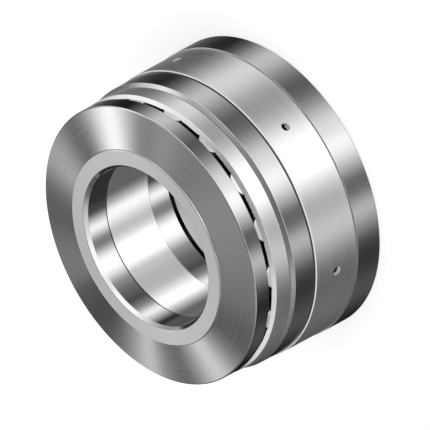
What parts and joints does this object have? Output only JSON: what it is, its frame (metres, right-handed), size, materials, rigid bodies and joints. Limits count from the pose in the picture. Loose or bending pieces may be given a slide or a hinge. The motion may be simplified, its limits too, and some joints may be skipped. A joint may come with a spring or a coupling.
{
  "type": "tandem thrust roller bearing",
  "caption": "Two-stage thrust bearing: cylindrical rollers in cages between shaft washers and housing washers, spaced by an inner and an outer sleeve.",
  "frame": {"origin": "centre of the back face of the last housing washer, on which the bearing stands", "axes": "+Z along the shaft towards the front hub face, +X through one oil hole of the outer sleeve"},
  "size_m": [0.2, 0.2, 0.11],
  "materials": {
    "ground_steel": "ground bearing steel with a mirror-like turned sheen",
    "satin_steel": "fine-turned satin steel",
    "cage_steel": "machined light satin steel",
    "roller_steel": "polished rollers with ground ends"
  },
  "bodies": {
    "housing": {"housing_washer_2": "ground_steel", "outer_sleeve": "satin_steel", "housing_washer_1": "ground_steel"},
    "shaft": {"shaft_washer_1": "ground_steel", "inner_sleeve": "satin_steel", "shaft_washer_2": "ground_steel"},
    "cage_1": {"cage_1": "cage_steel"},
    "cage_2": {"cage_2": "cage_steel"},
    "roller_1_01": {"roller_1_01": "roller_steel"},
    "roller_1_02": {"roller_1_02": "roller_steel"},
    "roller_1_03": {"roller_1_03": "roller_steel"},
    "roller_1_04": {"roller_1_04": "roller_steel"},
    "roller_1_05": {"roller_1_05": "roller_steel"},
    "roller_1_06": {"roller_1_06": "roller_steel"},
    "roller_1_07": {"roller_1_07": "roller_steel"},
    "roller_1_08": {"roller_1_08": "roller_steel"},
    "roller_1_09": {"roller_1_09": "roller_steel"},
    "roller_1_10": {"roller_1_10": "roller_steel"},
    "roller_1_11": {"roller_1_11": "roller_steel"},
    "roller_1_12": {"roller_1_12": "roller_steel"},
    "roller_1_13": {"roller_1_13": "roller_steel"},
    "roller_1_14": {"roller_1_14": "roller_steel"},
    "roller_1_15": {"roller_1_15": "roller_steel"},
    "roller_1_16": {"roller_1_16": "roller_steel"},
    "roller_1_17": {"roller_1_17": "roller_steel"},
    "roller_1_18": {"roller_1_18": "roller_steel"},
    "roller_2_01": {"roller_2_01": "roller_steel"},
    "roller_2_02": {"roller_2_02": "roller_steel"},
    "roller_2_03": {"roller_2_03": "roller_steel"},
    "roller_2_04": {"roller_2_04": "roller_steel"},
    "roller_2_05": {"roller_2_05": "roller_steel"},
    "roller_2_06": {"roller_2_06": "roller_steel"},
    "roller_2_07": {"roller_2_07": "roller_steel"},
    "roller_2_08": {"roller_2_08": "roller_steel"},
    "roller_2_09": {"roller_2_09": "roller_steel"},
    "roller_2_10": {"roller_2_10": "roller_steel"},
    "roller_2_11": {"roller_2_11": "roller_steel"},
    "roller_2_12": {"roller_2_12": "roller_steel"},
    "roller_2_13": {"roller_2_13": "roller_steel"},
    "roller_2_14": {"roller_2_14": "roller_steel"},
    "roller_2_15": {"roller_2_15": "roller_steel"},
    "roller_2_16": {"roller_2_16": "roller_steel"},
    "roller_2_17": {"roller_2_17": "roller_steel"},
    "roller_2_18": {"roller_2_18": "roller_steel"}
  },
  "joints": [
    {"name": "shaft_spin", "type": "hinge", "parent": "housing", "child": "shaft", "pos_m": [0, 0, 0.11], "axis": [0, 0, 1], "continuous": true},
    {"name": "cage_1_spin", "type": "hinge", "parent": "housing", "child": "cage_1", "pos_m": [0, 0, 0.0835], "axis": [0, 0, 1], "continuous": true},
    {"name": "roller_1_01_roll", "type": "hinge", "parent": "cage_1", "child": "roller_1_01", "pos_m": [0.07878, 0.01389, 0.08485], "axis": [0.9848, 0.1736, 0], "continuous": true},
    {"name": "roller_1_02_roll", "type": "hinge", "parent": "cage_1", "child": "roller_1_02", "pos_m": [0.06928, 0.04, 0.08485], "axis": [0.866, 0.5, 0], "continuous": true},
    {"name": "roller_1_03_roll", "type": "hinge", "parent": "cage_1", "child": "roller_1_03", "pos_m": [0.05142, 0.06128, 0.08485], "axis": [0.6428, 0.766, 0], "continuous": true},
    {"name": "roller_1_04_roll", "type": "hinge", "parent": "cage_1", "child": "roller_1_04", "pos_m": [0.02736, 0.07518, 0.08485], "axis": [0.342, 0.9397, 0], "continuous": true},
    {"name": "roller_1_05_roll", "type": "hinge", "parent": "cage_1", "child": "roller_1_05", "pos_m": [0, 0.08, 0.08485], "axis": [0, 1, 0], "continuous": true},
    {"name": "roller_1_06_roll", "type": "hinge", "parent": "cage_1", "child": "roller_1_06", "pos_m": [-0.02736, 0.07518, 0.08485], "axis": [-0.342, 0.9397, 0], "continuous": true},
    {"name": "roller_1_07_roll", "type": "hinge", "parent": "cage_1", "child": "roller_1_07", "pos_m": [-0.05142, 0.06128, 0.08485], "axis": [-0.6428, 0.766, 0], "continuous": true},
    {"name": "roller_1_08_roll", "type": "hinge", "parent": "cage_1", "child": "roller_1_08", "pos_m": [-0.06928, 0.04, 0.08485], "axis": [-0.866, 0.5, 0], "continuous": true},
    {"name": "roller_1_09_roll", "type": "hinge", "parent": "cage_1", "child": "roller_1_09", "pos_m": [-0.07878, 0.01389, 0.08485], "axis": [-0.9848, 0.1736, 0], "continuous": true},
    {"name": "roller_1_10_roll", "type": "hinge", "parent": "cage_1", "child": "roller_1_10", "pos_m": [-0.07878, -0.01389, 0.08485], "axis": [-0.9848, -0.1736, 0], "continuous": true},
    {"name": "roller_1_11_roll", "type": "hinge", "parent": "cage_1", "child": "roller_1_11", "pos_m": [-0.06928, -0.04, 0.08485], "axis": [-0.866, -0.5, 0], "continuous": true},
    {"name": "roller_1_12_roll", "type": "hinge", "parent": "cage_1", "child": "roller_1_12", "pos_m": [-0.05142, -0.06128, 0.08485], "axis": [-0.6428, -0.766, 0], "continuous": true},
    {"name": "roller_1_13_roll", "type": "hinge", "parent": "cage_1", "child": "roller_1_13", "pos_m": [-0.02736, -0.07518, 0.08485], "axis": [-0.342, -0.9397, 0], "continuous": true},
    {"name": "roller_1_14_roll", "type": "hinge", "parent": "cage_1", "child": "roller_1_14", "pos_m": [0, -0.08, 0.08485], "axis": [0, -1, 0], "continuous": true},
    {"name": "roller_1_15_roll", "type": "hinge", "parent": "cage_1", "child": "roller_1_15", "pos_m": [0.02736, -0.07518, 0.08485], "axis": [0.342, -0.9397, 0], "continuous": true},
    {"name": "roller_1_16_roll", "type": "hinge", "parent": "cage_1", "child": "roller_1_16", "pos_m": [0.05142, -0.06128, 0.08485], "axis": [0.6428, -0.766, 0], "continuous": true},
    {"name": "roller_1_17_roll", "type": "hinge", "parent": "cage_1", "child": "roller_1_17", "pos_m": [0.06928, -0.04, 0.08485], "axis": [0.866, -0.5, 0], "continuous": true},
    {"name": "roller_1_18_roll", "type": "hinge", "parent": "cage_1", "child": "roller_1_18", "pos_m": [0.07878, -0.01389, 0.08485], "axis": [0.9848, -0.1736, 0], "continuous": true},
    {"name": "cage_2_spin", "type": "hinge", "parent": "housing", "child": "cage_2", "pos_m": [0, 0, 0.0275], "axis": [0, 0, 1], "continuous": true},
    {"name": "roller_2_01_roll", "type": "hinge", "parent": "cage_2", "child": "roller_2_01", "pos_m": [0.07878, 0.01389, 0.02885], "axis": [0.9848, 0.1736, 0], "continuous": true},
    {"name": "roller_2_02_roll", "type": "hinge", "parent": "cage_2", "child": "roller_2_02", "pos_m": [0.06928, 0.04, 0.02885], "axis": [0.866, 0.5, 0], "continuous": true},
    {"name": "roller_2_03_roll", "type": "hinge", "parent": "cage_2", "child": "roller_2_03", "pos_m": [0.05142, 0.06128, 0.02885], "axis": [0.6428, 0.766, 0], "continuous": true},
    {"name": "roller_2_04_roll", "type": "hinge", "parent": "cage_2", "child": "roller_2_04", "pos_m": [0.02736, 0.07518, 0.02885], "axis": [0.342, 0.9397, 0], "continuous": true},
    {"name": "roller_2_05_roll", "type": "hinge", "parent": "cage_2", "child": "roller_2_05", "pos_m": [0, 0.08, 0.02885], "axis": [0, 1, 0], "continuous": true},
    {"name": "roller_2_06_roll", "type": "hinge", "parent": "cage_2", "child": "roller_2_06", "pos_m": [-0.02736, 0.07518, 0.02885], "axis": [-0.342, 0.9397, 0], "continuous": true},
    {"name": "roller_2_07_roll", "type": "hinge", "parent": "cage_2", "child": "roller_2_07", "pos_m": [-0.05142, 0.06128, 0.02885], "axis": [-0.6428, 0.766, 0], "continuous": true},
    {"name": "roller_2_08_roll", "type": "hinge", "parent": "cage_2", "child": "roller_2_08", "pos_m": [-0.06928, 0.04, 0.02885], "axis": [-0.866, 0.5, 0], "continuous": true},
    {"name": "roller_2_09_roll", "type": "hinge", "parent": "cage_2", "child": "roller_2_09", "pos_m": [-0.07878, 0.01389, 0.02885], "axis": [-0.9848, 0.1736, 0], "continuous": true},
    {"name": "roller_2_10_roll", "type": "hinge", "parent": "cage_2", "child": "roller_2_10", "pos_m": [-0.07878, -0.01389, 0.02885], "axis": [-0.9848, -0.1736, 0], "continuous": true},
    {"name": "roller_2_11_roll", "type": "hinge", "parent": "cage_2", "child": "roller_2_11", "pos_m": [-0.06928, -0.04, 0.02885], "axis": [-0.866, -0.5, 0], "continuous": true},
    {"name": "roller_2_12_roll", "type": "hinge", "parent": "cage_2", "child": "roller_2_12", "pos_m": [-0.05142, -0.06128, 0.02885], "axis": [-0.6428, -0.766, 0], "continuous": true},
    {"name": "roller_2_13_roll", "type": "hinge", "parent": "cage_2", "child": "roller_2_13", "pos_m": [-0.02736, -0.07518, 0.02885], "axis": [-0.342, -0.9397, 0], "continuous": true},
    {"name": "roller_2_14_roll", "type": "hinge", "parent": "cage_2", "child": "roller_2_14", "pos_m": [0, -0.08, 0.02885], "axis": [0, -1, 0], "continuous": true},
    {"name": "roller_2_15_roll", "type": "hinge", "parent": "cage_2", "child": "roller_2_15", "pos_m": [0.02736, -0.07518, 0.02885], "axis": [0.342, -0.9397, 0], "continuous": true},
    {"name": "roller_2_16_roll", "type": "hinge", "parent": "cage_2", "child": "roller_2_16", "pos_m": [0.05142, -0.06128, 0.02885], "axis": [0.6428, -0.766, 0], "continuous": true},
    {"name": "roller_2_17_roll", "type": "hinge", "parent": "cage_2", "child": "roller_2_17", "pos_m": [0.06928, -0.04, 0.02885], "axis": [0.866, -0.5, 0], "continuous": true},
    {"name": "roller_2_18_roll", "type": "hinge", "parent": "cage_2", "child": "roller_2_18", "pos_m": [0.07878, -0.01389, 0.02885], "axis": [0.9848, -0.1736, 0], "continuous": true}
  ],
  "couplings": [
    {"joint": "cage_1_spin", "follows": "shaft_spin", "ratio": 0.5},
    {"joint": "roller_1_01_roll", "follows": "shaft_spin", "ratio": -4.3243},
    {"joint": "roller_1_02_roll", "follows": "shaft_spin", "ratio": -4.3243},
    {"joint": "roller_1_03_roll", "follows": "shaft_spin", "ratio": -4.3243},
    {"joint": "roller_1_04_roll", "follows": "shaft_spin", "ratio": -4.3243},
    {"joint": "roller_1_05_roll", "follows": "shaft_spin", "ratio": -4.3243},
    {"joint": "roller_1_06_roll", "follows": "shaft_spin", "ratio": -4.3243},
    {"joint": "roller_1_07_roll", "follows": "shaft_spin", "ratio": -4.3243},
    {"joint": "roller_1_08_roll", "follows": "shaft_spin", "ratio": -4.3243},
    {"joint": "roller_1_09_roll", "follows": "shaft_spin", "ratio": -4.3243},
    {"joint": "roller_1_10_roll", "follows": "shaft_spin", "ratio": -4.3243},
    {"joint": "roller_1_11_roll", "follows": "shaft_spin", "ratio": -4.3243},
    {"joint": "roller_1_12_roll", "follows": "shaft_spin", "ratio": -4.3243},
    {"joint": "roller_1_13_roll", "follows": "shaft_spin", "ratio": -4.3243},
    {"joint": "roller_1_14_roll", "follows": "shaft_spin", "ratio": -4.3243},
    {"joint": "roller_1_15_roll", "follows": "shaft_spin", "ratio": -4.3243},
    {"joint": "roller_1_16_roll", "follows": "shaft_spin", "ratio": -4.3243},
    {"joint": "roller_1_17_roll", "follows": "shaft_spin", "ratio": -4.3243},
    {"joint": "roller_1_18_roll", "follows": "shaft_spin", "ratio": -4.3243},
    {"joint": "cage_2_spin", "follows": "shaft_spin", "ratio": 0.5},
    {"joint": "roller_2_01_roll", "follows": "shaft_spin", "ratio": -4.3243},
    {"joint": "roller_2_02_roll", "follows": "shaft_spin", "ratio": -4.3243},
    {"joint": "roller_2_03_roll", "follows": "shaft_spin", "ratio": -4.3243},
    {"joint": "roller_2_04_roll", "follows": "shaft_spin", "ratio": -4.3243},
    {"joint": "roller_2_05_roll", "follows": "shaft_spin", "ratio": -4.3243},
    {"joint": "roller_2_06_roll", "follows": "shaft_spin", "ratio": -4.3243},
    {"joint": "roller_2_07_roll", "follows": "shaft_spin", "ratio": -4.3243},
    {"joint": "roller_2_08_roll", "follows": "shaft_spin", "ratio": -4.3243},
    {"joint": "roller_2_09_roll", "follows": "shaft_spin", "ratio": -4.3243},
    {"joint": "roller_2_10_roll", "follows": "shaft_spin", "ratio": -4.3243},
    {"joint": "roller_2_11_roll", "follows": "shaft_spin", "ratio": -4.3243},
    {"joint": "roller_2_12_roll", "follows": "shaft_spin", "ratio": -4.3243},
    {"joint": "roller_2_13_roll", "follows": "shaft_spin", "ratio": -4.3243},
    {"joint": "roller_2_14_roll", "follows": "shaft_spin", "ratio": -4.3243},
    {"joint": "roller_2_15_roll", "follows": "shaft_spin", "ratio": -4.3243},
    {"joint": "roller_2_16_roll", "follows": "shaft_spin", "ratio": -4.3243},
    {"joint": "roller_2_17_roll", "follows": "shaft_spin", "ratio": -4.3243},
    {"joint": "roller_2_18_roll", "follows": "shaft_spin", "ratio": -4.3243}
  ]
}
